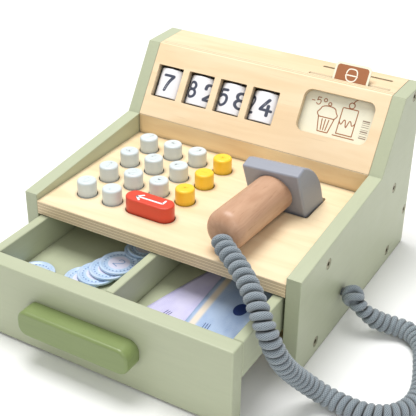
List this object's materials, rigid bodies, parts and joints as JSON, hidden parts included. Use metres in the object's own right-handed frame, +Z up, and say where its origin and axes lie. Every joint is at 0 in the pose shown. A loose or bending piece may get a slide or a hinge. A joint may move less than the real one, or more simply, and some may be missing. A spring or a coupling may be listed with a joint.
{
  "type": "toy cash register",
  "caption": "Wooden toy till with sloped display, turning number drums, push keys, sliding cash drawer, category card and a corded hand scanner.",
  "frame": {"origin": "centre of the footprint at table level with the drawer standing 72 mm open, cord left out", "axes": "+Z up, -Y towards the operator who pulls the drawer, +X to the operator's right"},
  "size_m": [0.3441, 0.3116, 0.1698],
  "materials": {
    "sage_paint": "satin sage-green paint over plywood",
    "olive_paint": "satin olive-green paint over beech",
    "birch_ply": "clear matt lacquer on birch plywood",
    "pale_paint": "satin pale blue-grey paint",
    "yellow_paint": "satin yellow paint",
    "red_paint": "satin red paint",
    "white_paint": "satin white paint with printed figures",
    "grey_paint": "satin grey paint",
    "beech": "oiled beech, end grain at the butt",
    "card": "printed card, matt",
    "coin_card": "printed play coins, matt",
    "note_paper": "printed play notes, matt paper",
    "cord_braid": "braided textile sleeve",
    "bronze": "dark bronze finish",
    "spring_wire": "bright spring wire",
    "steel": "bright drawn pin"
  },
  "bodies": {
    "housing": {"left_side_panel": "sage_paint", "right_side_panel": "sage_paint", "base_board": "birch_ply", "back_panel": "birch_ply", "top_board": "birch_ply", "keyboard_plate": "birch_ply", "key_backing": "birch_ply", "riser_board": "birch_ply", "display_panel": "birch_ply", "upper_drum_rail": "birch_ply", "lower_drum_rail": "birch_ply", "card_pocket_frame": "birch_ply", "card_pocket_back": "birch_ply", "left_runner": "birch_ply", "right_runner": "birch_ply", "drawer_stop_block": "birch_ply", "side_screws": "bronze", "key_springs": "spring_wire", "drum_axles": "steel", "curly_cord": "cord_braid", "cord_tail": "cord_braid", "cord_knot": "cord_braid"},
    "drawer": {"drawer_front": "sage_paint", "drawer_left_wall": "sage_paint", "drawer_right_wall": "sage_paint", "drawer_back_wall": "sage_paint", "drawer_floor": "sage_paint", "drawer_divider": "sage_paint", "drawer_stop_cleat": "birch_ply", "drawer_handle": "olive_paint", "handle_screws": "bronze", "play_coins": "coin_card", "play_notes": "note_paper"},
    "key_a1": {"key_a1": "pale_paint"},
    "key_a2": {"key_a2": "pale_paint"},
    "key_a3": {"key_a3": "pale_paint"},
    "key_a4": {"key_a4": "yellow_paint"},
    "key_b1": {"key_b1": "pale_paint"},
    "key_b2": {"key_b2": "pale_paint"},
    "key_b3": {"key_b3": "pale_paint"},
    "key_b4": {"key_b4": "yellow_paint"},
    "key_c1": {"key_c1": "pale_paint"},
    "key_c2": {"key_c2": "pale_paint"},
    "key_c3": {"key_c3": "pale_paint"},
    "key_c4": {"key_c4": "yellow_paint"},
    "key_d1": {"key_d1": "pale_paint"},
    "key_d2": {"key_d2": "pale_paint"},
    "enter_key": {"enter_key": "red_paint"},
    "number_drum_1": {"number_drum_1": "white_paint"},
    "number_drum_2": {"number_drum_2": "white_paint"},
    "number_drum_3": {"number_drum_3": "white_paint"},
    "number_drum_4": {"number_drum_4": "white_paint"},
    "scanner": {"scanner_head": "grey_paint", "scanner_handle": "beech"},
    "card": {"category_card": "card"}
  },
  "joints": [
    {"name": "drawer_slide", "type": "slide", "parent": "housing", "child": "drawer", "axis": [0, -1, 0], "range_m": [-0.072, 0.045]},
    {"name": "key_a1_press", "type": "slide", "parent": "housing", "child": "key_a1", "axis": [0, 0, -1], "range_m": [0, 0.0025], "stiffness_N_per_m": 200, "springref_m": -0.002, "deforming": ["key_springs"]},
    {"name": "key_a2_press", "type": "slide", "parent": "housing", "child": "key_a2", "axis": [0, 0, -1], "range_m": [0, 0.0025], "stiffness_N_per_m": 200, "springref_m": -0.002, "deforming": ["key_springs"]},
    {"name": "key_a3_press", "type": "slide", "parent": "housing", "child": "key_a3", "axis": [0, 0, -1], "range_m": [0, 0.0025], "stiffness_N_per_m": 200, "springref_m": -0.002, "deforming": ["key_springs"]},
    {"name": "key_a4_press", "type": "slide", "parent": "housing", "child": "key_a4", "axis": [0, 0, -1], "range_m": [0, 0.0025], "stiffness_N_per_m": 200, "springref_m": -0.002, "deforming": ["key_springs"]},
    {"name": "key_b1_press", "type": "slide", "parent": "housing", "child": "key_b1", "axis": [0, 0, -1], "range_m": [0, 0.0025], "stiffness_N_per_m": 200, "springref_m": -0.002, "deforming": ["key_springs"]},
    {"name": "key_b2_press", "type": "slide", "parent": "housing", "child": "key_b2", "axis": [0, 0, -1], "range_m": [0, 0.0025], "stiffness_N_per_m": 200, "springref_m": -0.002, "deforming": ["key_springs"]},
    {"name": "key_b3_press", "type": "slide", "parent": "housing", "child": "key_b3", "axis": [0, 0, -1], "range_m": [0, 0.0025], "stiffness_N_per_m": 200, "springref_m": -0.002, "deforming": ["key_springs"]},
    {"name": "key_b4_press", "type": "slide", "parent": "housing", "child": "key_b4", "axis": [0, 0, -1], "range_m": [0, 0.0025], "stiffness_N_per_m": 200, "springref_m": -0.002, "deforming": ["key_springs"]},
    {"name": "key_c1_press", "type": "slide", "parent": "housing", "child": "key_c1", "axis": [0, 0, -1], "range_m": [0, 0.0025], "stiffness_N_per_m": 200, "springref_m": -0.002, "deforming": ["key_springs"]},
    {"name": "key_c2_press", "type": "slide", "parent": "housing", "child": "key_c2", "axis": [0, 0, -1], "range_m": [0, 0.0025], "stiffness_N_per_m": 200, "springref_m": -0.002, "deforming": ["key_springs"]},
    {"name": "key_c3_press", "type": "slide", "parent": "housing", "child": "key_c3", "axis": [0, 0, -1], "range_m": [0, 0.0025], "stiffness_N_per_m": 200, "springref_m": -0.002, "deforming": ["key_springs"]},
    {"name": "key_c4_press", "type": "slide", "parent": "housing", "child": "key_c4", "axis": [0, 0, -1], "range_m": [0, 0.0025], "stiffness_N_per_m": 200, "springref_m": -0.002, "deforming": ["key_springs"]},
    {"name": "key_d1_press", "type": "slide", "parent": "housing", "child": "key_d1", "axis": [0, 0, -1], "range_m": [0, 0.0025], "stiffness_N_per_m": 200, "springref_m": -0.002, "deforming": ["key_springs"]},
    {"name": "key_d2_press", "type": "slide", "parent": "housing", "child": "key_d2", "axis": [0, 0, -1], "range_m": [0, 0.0025], "stiffness_N_per_m": 200, "springref_m": -0.002, "deforming": ["key_springs"]},
    {"name": "enter_key_press", "type": "slide", "parent": "housing", "child": "enter_key", "axis": [0, 0, -1], "range_m": [0, 0.0025], "stiffness_N_per_m": 400, "springref_m": -0.002, "deforming": ["key_springs"]},
    {"name": "number_drum_1_turn", "type": "hinge", "parent": "housing", "child": "number_drum_1", "pos_m": [-0.093, 0.11135, 0.11966], "axis": [0, 0.5492, 0.8357], "continuous": true},
    {"name": "number_drum_2_turn", "type": "hinge", "parent": "housing", "child": "number_drum_2", "pos_m": [-0.0608, 0.11135, 0.11966], "axis": [0, 0.5492, 0.8357], "continuous": true},
    {"name": "number_drum_3_turn", "type": "hinge", "parent": "housing", "child": "number_drum_3", "pos_m": [-0.0286, 0.11135, 0.11966], "axis": [0, 0.5492, 0.8357], "continuous": true},
    {"name": "number_drum_4_turn", "type": "hinge", "parent": "housing", "child": "number_drum_4", "pos_m": [0.0036, 0.11135, 0.11966], "axis": [0, 0.5492, 0.8357], "continuous": true},
    {"name": "scanner_lift", "type": "slide", "parent": "housing", "child": "scanner", "axis": [0, 0, 1], "range_m": [0, 0.12]},
    {"name": "card_lift", "type": "slide", "parent": "housing", "child": "card", "axis": [0, 0.5492, 0.8357], "range_m": [0, 0.075]}
  ]
}
